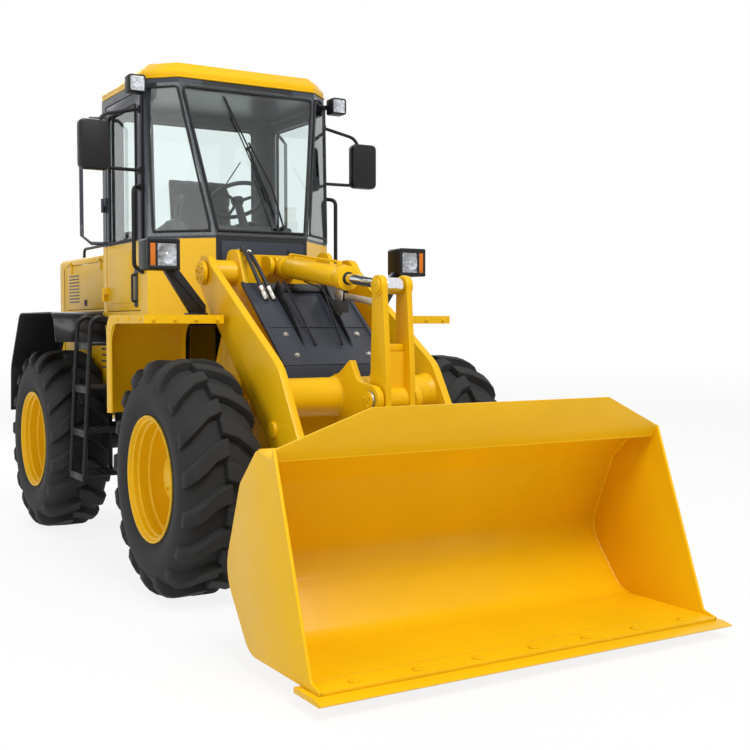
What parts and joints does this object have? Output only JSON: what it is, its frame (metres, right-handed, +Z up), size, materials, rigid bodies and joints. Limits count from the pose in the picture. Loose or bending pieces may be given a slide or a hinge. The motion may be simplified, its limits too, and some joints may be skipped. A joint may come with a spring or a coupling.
{
  "type": "articulated wheel loader",
  "caption": "Articulated wheel loader with a Z-bar bucket linkage, a glazed cab, steps, fenders, side-opening engine panels and four lugged tyres.",
  "frame": {"origin": "on the ground, at the middle of the machine's length and width", "axes": "+Z up, -Y forwards to the bucket, +X to the machine's own left"},
  "size_m": [2.3, 5.96, 3.27],
  "materials": {
    "yellow_paint": "glossy machine enamel",
    "slate_paint": "satin dark grey enamel",
    "black_paint": "satin black powder coat",
    "tyre_rubber": "matt black rubber",
    "chrome": "polished rod chrome",
    "pin_steel": "turned steel",
    "axle_iron": "painted cast iron",
    "glass": "clear safety glass",
    "seat_cloth": "dark woven seat cloth"
  },
  "bodies": {
    "rear_body": {"rear_frame": "black_paint", "engine_block": "axle_iron", "engine_hood": "yellow_paint", "counterweight": "yellow_paint", "rear_axle": "axle_iron", "rear_fender_left": "black_paint", "rear_fender_right": "black_paint", "steps_left": "black_paint", "steps_right": "black_paint", "cab_shell": "yellow_paint", "cab_roof": "yellow_paint", "windshield": "glass", "rear_window": "glass", "mirror_and_lamp_left": "black_paint", "mirror_and_lamp_right": "black_paint", "seat_cushion": "seat_cloth", "seat_backrest": "seat_cloth", "steering_column": "black_paint"},
    "front_body": {"front_frame": "yellow_paint", "front_axle": "axle_iron", "front_cover": "slate_paint", "front_fender_left": "yellow_paint", "front_fender_right": "yellow_paint", "headlight_left": "black_paint", "headlight_right": "black_paint"},
    "boom": {"boom": "yellow_paint"},
    "crank_pin": {"crank_pin": "pin_steel"},
    "bell_crank": {"bell_crank": "yellow_paint"},
    "link_pin": {"link_pin": "pin_steel"},
    "bucket_link": {"bucket_link": "yellow_paint"},
    "bucket_pins": {"bucket_pin_left": "pin_steel", "bucket_pin_right": "pin_steel"},
    "bucket": {"bucket": "yellow_paint", "cutting_edge": "pin_steel"},
    "tilt_barrel": {"tilt_barrel": "yellow_paint"},
    "tilt_piston": {"tilt_piston": "pin_steel"},
    "tilt_rod": {"tilt_rod": "chrome"},
    "rear_grille": {"rear_grille": "slate_paint"},
    "front_wheel_left": {"front_tyre_left": "tyre_rubber", "front_rim_left": "yellow_paint"},
    "rear_wheel_left": {"rear_tyre_left": "tyre_rubber", "rear_rim_left": "yellow_paint"},
    "cab_door_left": {"cab_door_left": "yellow_paint", "door_glass_left": "glass"},
    "hood_door_left": {"hood_door_left": "yellow_paint"},
    "lift_barrel_left": {"lift_barrel_left": "yellow_paint"},
    "lift_rod_left": {"lift_rod_left": "chrome"},
    "steering_barrel_left": {"steering_barrel_left": "black_paint"},
    "steering_rod_left": {"steering_rod_left": "chrome"},
    "front_wheel_right": {"front_tyre_right": "tyre_rubber", "front_rim_right": "yellow_paint"},
    "rear_wheel_right": {"rear_tyre_right": "tyre_rubber", "rear_rim_right": "yellow_paint"},
    "cab_door_right": {"cab_door_right": "yellow_paint", "door_glass_right": "glass"},
    "hood_door_right": {"hood_door_right": "yellow_paint"},
    "lift_barrel_right": {"lift_barrel_right": "yellow_paint"},
    "lift_rod_right": {"lift_rod_right": "chrome"},
    "steering_barrel_right": {"steering_barrel_right": "black_paint"},
    "steering_rod_right": {"steering_rod_right": "chrome"}
  },
  "joints": [
    {"name": "articulation", "type": "hinge", "parent": "rear_body", "child": "front_body", "pos_m": [0, 0.56, 0.76], "axis": [0, 0, 1], "range_deg": [-40, 40]},
    {"name": "front_wheel_left_spin", "type": "hinge", "parent": "front_body", "child": "front_wheel_left", "pos_m": [0.84, -0.74, 0.675], "axis": [1, 0, 0], "continuous": true},
    {"name": "rear_wheel_left_spin", "type": "hinge", "parent": "rear_body", "child": "rear_wheel_left", "pos_m": [0.84, 1.86, 0.675], "axis": [1, 0, 0], "continuous": true},
    {"name": "front_wheel_right_spin", "type": "hinge", "parent": "front_body", "child": "front_wheel_right", "pos_m": [-0.84, -0.74, 0.675], "axis": [1, 0, 0], "continuous": true},
    {"name": "rear_wheel_right_spin", "type": "hinge", "parent": "rear_body", "child": "rear_wheel_right", "pos_m": [-0.84, 1.86, 0.675], "axis": [1, 0, 0], "continuous": true},
    {"name": "lift", "type": "hinge", "parent": "front_body", "child": "boom", "pos_m": [0, -0.29, 1.862], "axis": [-1, 0, 0], "range_deg": [-2, 80]},
    {"name": "bucket_levelling", "type": "hinge", "parent": "boom", "child": "bucket_pins", "pos_m": [0, -1.86, 0.36], "axis": [-1, 0, 0], "range_deg": [-80.05, 2.05]},
    {"name": "tilt", "type": "hinge", "parent": "bucket_pins", "child": "bucket", "pos_m": [0, -1.86, 0.36], "axis": [-1, 0, 0], "range_deg": [-48, 43]},
    {"name": "crank_levelling", "type": "hinge", "parent": "boom", "child": "crank_pin", "pos_m": [0, -1.65, 1.14], "axis": [-1, 0, 0], "range_deg": [-0.44, 15.77]},
    {"name": "crank_tilt", "type": "hinge", "parent": "crank_pin", "child": "bell_crank", "pos_m": [0, -1.65, 1.14], "axis": [-1, 0, 0], "range_deg": [-13.88, 15.49]},
    {"name": "link_levelling", "type": "hinge", "parent": "bell_crank", "child": "link_pin", "pos_m": [0, -1.675, 0.485], "axis": [-1, 0, 0], "range_deg": [-63.5, 1.64]},
    {"name": "link_tilt", "type": "hinge", "parent": "link_pin", "child": "bucket_link", "pos_m": [0, -1.675, 0.485], "axis": [-1, 0, 0], "range_deg": [-24.65, 22.09]},
    {"name": "tilt_barrel_hinge", "type": "hinge", "parent": "front_body", "child": "tilt_barrel", "pos_m": [0, -0.29, 1.915], "axis": [-1, 0, 0], "range_deg": [-2.04, 79.6]},
    {"name": "tilt_piston_slide", "type": "slide", "parent": "tilt_barrel", "child": "tilt_piston", "axis": [0, -0.9926, -0.1213], "range_m": [-0.22135, 0.00573]},
    {"name": "tilt_rod_slide", "type": "slide", "parent": "tilt_piston", "child": "tilt_rod", "axis": [0, -0.9926, -0.1213], "range_m": [-0.15882, 0.1423]},
    {"name": "lift_barrel_left_hinge", "type": "hinge", "parent": "front_body", "child": "lift_barrel_left", "pos_m": [0, 0.06, 0.64], "axis": [-1, 0, 0], "range_deg": [-0.58, 21.45]},
    {"name": "lift_rod_left_slide", "type": "slide", "parent": "lift_barrel_left", "child": "lift_rod_left", "axis": [0, -0.8125, 0.5829], "range_m": [-0.02149, 0.85192]},
    {"name": "steering_barrel_left_hinge", "type": "hinge", "parent": "rear_body", "child": "steering_barrel_left", "pos_m": [0.36, 1.23, 0.7], "axis": [0, 0, 1], "range_deg": [-3.25, 3.25]},
    {"name": "steering_rod_left_slide", "type": "slide", "parent": "steering_barrel_left", "child": "steering_rod_left", "axis": [-0.1301, -0.9915, 0], "range_m": [-0.1873, 0.1873]},
    {"name": "cab_door_left_hinge", "type": "hinge", "parent": "rear_body", "child": "cab_door_left", "pos_m": [0.69, 1.21, 2.35], "axis": [0, 0, 1], "range_deg": [0, 85]},
    {"name": "hood_door_left_hinge", "type": "hinge", "parent": "rear_body", "child": "hood_door_left", "pos_m": [0.614, 1.96, 2.035], "axis": [0, -1, 0], "range_deg": [0, 80]},
    {"name": "lift_barrel_right_hinge", "type": "hinge", "parent": "front_body", "child": "lift_barrel_right", "pos_m": [0, 0.06, 0.64], "axis": [-1, 0, 0], "range_deg": [-0.58, 21.45]},
    {"name": "lift_rod_right_slide", "type": "slide", "parent": "lift_barrel_right", "child": "lift_rod_right", "axis": [0, -0.8125, 0.5829], "range_m": [-0.02149, 0.85192]},
    {"name": "steering_barrel_right_hinge", "type": "hinge", "parent": "rear_body", "child": "steering_barrel_right", "pos_m": [-0.36, 1.23, 0.7], "axis": [0, 0, 1], "range_deg": [-3.25, 3.25]},
    {"name": "steering_rod_right_slide", "type": "slide", "parent": "steering_barrel_right", "child": "steering_rod_right", "axis": [0.1301, -0.9915, 0], "range_m": [-0.1873, 0.1873]},
    {"name": "cab_door_right_hinge", "type": "hinge", "parent": "rear_body", "child": "cab_door_right", "pos_m": [-0.69, 1.21, 2.35], "axis": [0, 0, -1], "range_deg": [0, 85]},
    {"name": "hood_door_right_hinge", "type": "hinge", "parent": "rear_body", "child": "hood_door_right", "pos_m": [-0.614, 1.96, 2.035], "axis": [0, 1, 0], "range_deg": [0, 80]},
    {"name": "rear_grille_hinge", "type": "hinge", "parent": "rear_body", "child": "rear_grille", "pos_m": [-0.6, 2.6903, 1.775], "axis": [0, 0, 1], "range_deg": [0, 100]}
  ],
  "couplings": [
    {"joint": "bucket_levelling", "follows": "lift", "ratio": -1},
    {"joint": "crank_levelling", "follows": "lift", "ratio": 0.19654},
    {"joint": "crank_tilt", "follows": "tilt", "ratio": -0.32163},
    {"joint": "link_levelling", "follows": "lift", "ratio": -0.79314},
    {"joint": "link_tilt", "follows": "tilt", "ratio": 0.51253},
    {"joint": "tilt_barrel_hinge", "follows": "lift", "ratio": 0.99437},
    {"joint": "tilt_piston_slide", "follows": "lift", "m_per_rad": -0.15838},
    {"joint": "tilt_rod_slide", "follows": "tilt", "m_per_rad": 0.18934},
    {"joint": "lift_barrel_left_hinge", "follows": "lift", "ratio": 0.26747},
    {"joint": "lift_rod_left_slide", "follows": "lift", "m_per_rad": 0.61},
    {"joint": "steering_barrel_left_hinge", "follows": "articulation", "ratio": 0.08},
    {"joint": "steering_rod_left_slide", "follows": "articulation", "m_per_rad": -0.268},
    {"joint": "lift_barrel_right_hinge", "follows": "lift", "ratio": 0.26747},
    {"joint": "lift_rod_right_slide", "follows": "lift", "m_per_rad": 0.61},
    {"joint": "steering_barrel_right_hinge", "follows": "articulation", "ratio": 0.08},
    {"joint": "steering_rod_right_slide", "follows": "articulation", "m_per_rad": 0.268}
  ]
}
